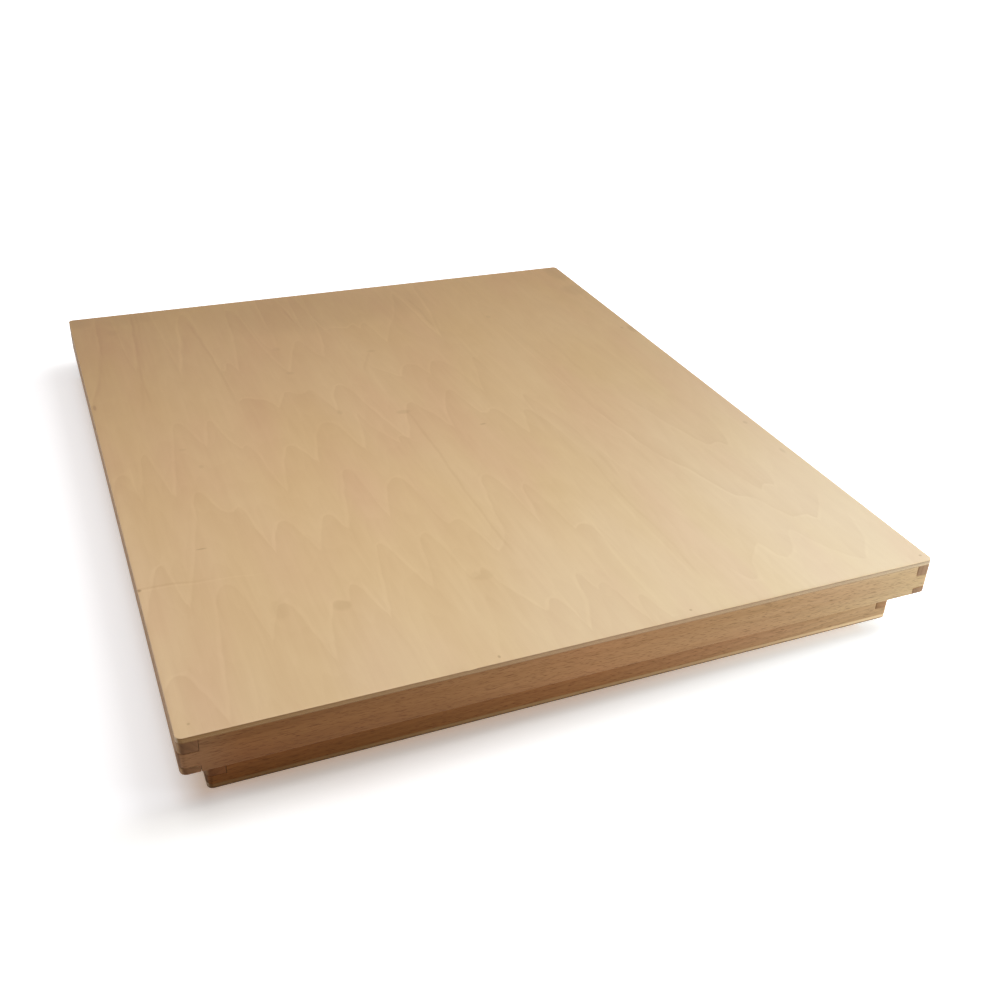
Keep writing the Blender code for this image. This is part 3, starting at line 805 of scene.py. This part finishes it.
# the base: the same make, a little smaller, with the plywood underneath
baseBottom = {
    "radius": 0.0035,
    "cornerSteps": 10,
    "section": [(0.0006, 0.0), (0.0003, 0.03), (0.0001, 0.10), (0.0001, 0.255), (0.00022, 0.265),
                (0.00022, 0.69), (0.00004, 0.70), (0.00004, 0.94), (0.00008, 1.0)],
    "nick": [],
    "glue": (0.0, 0.0002),
    "flames": 0.06,
    # painted shade along the bottom edge, where the panel meets the floor
    "soiled": 0.7,
    # darker and warmer at the left, paler at the right: painted shade and painted light
    "edgeDrift": ((0.72, 0.54, 0.34, 1.0), (0.88, 0.80, 0.63, 1.0), (1.00, 1.10, 1.10, 1.0)),
}
baseBoards = {
    "base_front_rail": {"grain": "X", "shift": (240, 73, 15), "heart": (-280, -30), "skew": 0.03,
                        "rise": 0.06, "tone": -0.08, "ringDepth": 0.11, "drift": baseFrontWoodAndPaintedLight,
                        "tip": (1.05, 1.08, 1.12, 1.0)},
    "base_back_rail": {"grain": "X", "shift": (640, 83, 35), "heart": (290, 70), "skew": 0.02, "rise": 0.01,
                       "tone": -0.05, "ringDepth": 0.08},
    "base_left_rail": {"grain": "Y", "shift": (740, 93, 55), "heart": (-240, 60), "skew": -0.02, "rise": 0.02,
                       "tone": -0.06, "ringDepth": 0.08, "sawn": (1.25, 0.97, 0.73, 1.0)},
    # the right rail's paler end grain is a painted sheen
    "base_right_rail": {"grain": "Y", "shift": (840, 103, 75), "heart": (230, 60), "skew": 0.02,
                        "rise": -0.01, "tone": -0.04, "ringDepth": 0.08, "sawn": (1.05, 1.18, 1.22, 1.0)},
}

panelMesh = panelShape(*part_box("base_panel"), baseBottom)
basePlywood = plywoodMaterial("baseBirchPlywood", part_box("base_panel"), baseBottom, False)
finishPiece("baseBottomPanel", panelMesh, basePlywood, "base", "base_panel")
dressRails(baseBoards, "base", 0)
print("base dressed: plywood bottom, four beech rails")


# the divider strips that make the tray's compartments
dividers = {
    "arris": 0.0003,
    "steps": 2,
    "counts": {"long": 4, "cross": 5},  # the long ones are thin along X and the cross ones along Y
    "nextStrip": (130, 17, 29),  # mm to the next strip's piece of wood
    "crossShift": 400,
}
for axis, (family, count) in enumerate(dividers["counts"].items()):
    for number in range(1, count + 1):
        nodeName = family + "_divider_" + str(number)
        low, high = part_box(nodeName)
        middle = (low[axis] + high[axis]) / 2
        half = (high[axis] - low[axis]) / 2
        stepX, stepY, stepZ = [number * step for step in dividers["nextStrip"]]
        shift = (stepX, stepY, stepZ + axis * dividers["crossShift"])
        wood = stripMaterial(plainName(nodeName) + "Plywood", "XY"[axis], middle, half, shift)
        stripMesh = softenedShape(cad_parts[nodeName], dividers["arris"], dividers["steps"])
        finishPiece(plainName(nodeName), stripMesh, wood, "base", nodeName)
print("tray dressed: nine plywood strips")


# the camera stands where the photographer stood
cameraSet = {
    "place": (-0.25364, -0.69718, 0.42894),
    "azimuth": -23.984,
    "elevation": 30.963,
    "roll": 2.406,
    "lens": 41.455,
    "sensor": 36,
    "clip": (0.01, 50),
}
camera = bpy.data.objects.new("camera", bpy.data.cameras.new("camera"))
camera.data.lens = cameraSet["lens"]
camera.data.sensor_width = cameraSet["sensor"]
camera.data.clip_start, camera.data.clip_end = cameraSet["clip"]
turn = Matrix.Rotation(math.radians(cameraSet["azimuth"]), 4, "Z")
tilt = Matrix.Rotation(math.radians(90 - cameraSet["elevation"]), 4, "X")
lean = Matrix.Rotation(math.radians(cameraSet["roll"]), 4, "Z")
camera.matrix_world = Matrix.Translation(cameraSet["place"]) @ turn @ tilt @ lean
scene.collection.objects.link(camera)
scene.camera = camera

# soft lamps: place, point aimed at, width, height, power in watts, colour, and what the lamp acts on
lamps = {
    "farLeft": ((-1.4, 0, 0.9), (0, 0, 0.03), 1.2, 0.8, 2.4, (1, 1, 1), "all"),
    "overFront": ((0, -0.22, 0.8), (0, -0.22, 0), 0.5, 0.4, 1.8, (0.93, 0.95, 1), "all"),
    "overLeft": ((-0.35, -0.12, 0.8), (-0.2, -0.12, 0), 0.5, 0.4, 1.7, (1, 1, 1), "all"),
    "overRight": ((0.25, -0.2, 0.8), (0.1, -0.2, 0), 0.5, 0.4, 2.45, (0.95, 0.97, 1), "all"),
    "nearRight": ((0.45, -0.48, 0.07), (0.15, -0.27, 0.03), 0.2, 0.08, 2.8, (0.88, 0.92, 1), "matt"),
    "behind": ((0.1, 1.5, 0.8), (0, 0, 0.03), 1.2, 0.8, 2.5, (1, 0.99, 0.98), "matt"),
    "sheen": ((0.75, 0.25, 0.48), (0.05, -0.1, 0.03), 0.5, 0.3, 4.2, (0.88, 0.92, 1), "gloss"),
}
for lampName, (place, target, wide, tall, power, tint, actsOn) in lamps.items():
    lampData = bpy.data.lights.new(lampName, "AREA")
    lampData.shape = "RECTANGLE"
    lampData.size = wide
    lampData.size_y = tall
    lampData.energy = power
    lampData.color = tint
    lamp = bpy.data.objects.new(lampName, lampData)
    lamp.location = place
    lamp.rotation_euler = (Vector(target) - Vector(place)).to_track_quat("-Z", "Y").to_euler()
    lamp.visible_camera = False
    lamp.visible_diffuse = actsOn != "gloss"
    lamp.visible_glossy = actsOn != "matt"
    scene.collection.objects.link(lamp)

# The floor is white, and near the box it keeps the box's shadow, deepened by a painted shadow: the glows are
# what the camera sees added to the floor, dimmer where it meets the base and close by, and white further off.
# The first two differ from left to right.
room = {
    "worldLight": 0.08,  # how brightly the white room lights the box
    "floorTone": 0.80,
    "paintedContactShadowGlows": ((0.18, 0.06, 0.0, 1.0), (0.43, 0.335, 0.25, 1.0)),
    "paintedNearShadowGlows": ((0.367, 0.322, 0.281, 1.0), (0.477, 0.48, 0.45, 1.0)),
    "leftGlow": (0.468, 0.447, 0.442, 1.0),  # painted shadow in place of the near ones, beside the box at the left
    "farGlow": (1.02, 1.02, 1.02, 1.0),
    "contactReach": (-0.004, 0.0108),  # metres from the base
    "fade": (0.004, 0.116),
    "leftShare": 0.47,  # under 1, the painted shadow reaches further to the left than to the front
    "rightShare": 3.0,  # over 1, it ends sooner at the right, where this is counted from rightFrom
    "rightFrom": 0.188,
    "besideGlow": 0.65,  # the painted shadow at the left is as light as it is this far along the front
    "besideReach": (-0.02, 0.005),  # from the base's front edge: where that begins, and where it is full
    "cornerGlow": 0.35,  # the same at the front left corner, fading over cornerReach
    "cornerReach": 0.1,
    "leftReach": 0.05,  # how far in from the base's left side the painted left shadow fades out
    "floorHalf": 6.0,
    "floorLevel": -0.0003,
}


def seenDirectly(tree):
    # 1 for what the camera sees, in a reflection too, and 0 for the light that falls on the box
    rays = addNode(tree, "LightPath").outputs
    seen = calc(tree, "MAXIMUM", rays["Is Camera Ray"], rays["Is Glossy Ray"])
    return calc(tree, "MAXIMUM", seen, rays["Is Transmission Ray"])


world = bpy.data.worlds.new("room")
scene.world = world
world.use_nodes = True
world.node_tree.nodes.clear()
seen = seenDirectly(world.node_tree)
strength = calc(world.node_tree, "MULTIPLY_ADD", seen, 1.0 - room["worldLight"], room["worldLight"])
backdrop = addNode(world.node_tree, "Background", {"Color": (1, 1, 1, 1), "Strength": strength})
addNode(world.node_tree, "OutputWorld", {"Surface": backdrop.outputs[0]})

floorMaterial = bpy.data.materials.new("paleFloor")
floorMaterial.use_nodes = True
tree = floorMaterial.node_tree
tree.nodes.clear()
coords = addNode(tree, "TexCoord").outputs["Object"]
floorX, floorY = addNode(tree, "SeparateXYZ", {0: coords}).outputs[:2]
baseLow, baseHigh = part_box("base_panel")
beyondLeft = calc(tree, "MAXIMUM", calc(tree, "SUBTRACT", baseLow[0], floorX), 0.0)
beyondRight = calc(tree, "MAXIMUM", calc(tree, "SUBTRACT", floorX, room["rightFrom"]), 0.0)
beyondX = calc(tree, "MULTIPLY_ADD", beyondRight, room["rightShare"],
               calc(tree, "MULTIPLY", beyondLeft, room["leftShare"]))
beyondY = calc(tree, "SUBTRACT", calc(tree, "ABSOLUTE", floorY), baseHigh[1])
beyondY = calc(tree, "MAXIMUM", beyondY, 0.0)
beyond = calc(tree, "SQRT", calc(tree, "MULTIPLY_ADD", beyondX, beyondX, calc(tree, "POWER", beyondY, 2.0)))
alongFront = between(tree, floorX, baseLow[0], baseHigh[0])
besideFrom, besideTo = [baseLow[1] + reach for reach in room["besideReach"]]
beside = between(tree, floorY, besideFrom, besideTo, 0.0, room["besideGlow"])
cornerEnd = baseLow[0] + room["cornerReach"]
corner = between(tree, floorX, baseLow[0], cornerEnd, room["cornerGlow"], 0.0)
alongFront = calc(tree, "MAXIMUM", alongFront, calc(tree, "MAXIMUM", beside, corner))
# the painted shadow on the floor: dimmer glows at the base and close by, white further off
contact = mixed(tree, alongFront, *room["paintedContactShadowGlows"])
near = mixed(tree, alongFront, *room["paintedNearShadowGlows"])
atLeft = calc(tree, "MULTIPLY", between(tree, floorY, besideFrom, besideTo),
              between(tree, floorX, baseLow[0], baseLow[0] + room["leftReach"], 1.0, 0.0))
near = mixed(tree, atLeft, near, room["leftGlow"])
white = mixed(tree, between(tree, beyond, *room["contactReach"]), contact, near)
white = mixed(tree, between(tree, beyond, *room["fade"]), white, room["farGlow"])
glow = addNode(tree, "Emission", {"Color": white, "Strength": seenDirectly(tree)})
tone = room["floorTone"]
matt = addNode(tree, "BsdfDiffuse", {"Color": (tone, tone, tone, 1), "Roughness": 1.0})
both = addNode(tree, "AddShader", {0: matt.outputs[0], 1: glow.outputs[0]})
addNode(tree, "OutputMaterial", {"Surface": both.outputs[0]})
floorMesh = bmesh.new()
half = room["floorHalf"]
corners = [floorMesh.verts.new((x, y, room["floorLevel"]))
           for x, y in ((-half, -half), (half, -half), (half, half), (-half, half))]
floorMesh.faces.new(corners)
floorData = bpy.data.meshes.new("floor")
floorMesh.to_mesh(floorData)
floorMesh.free()
floorData.materials.append(floorMaterial)
floor = bpy.data.objects.new("floor", floorData)
scene.collection.objects.link(floor)
print("camera, lamps and floor set")
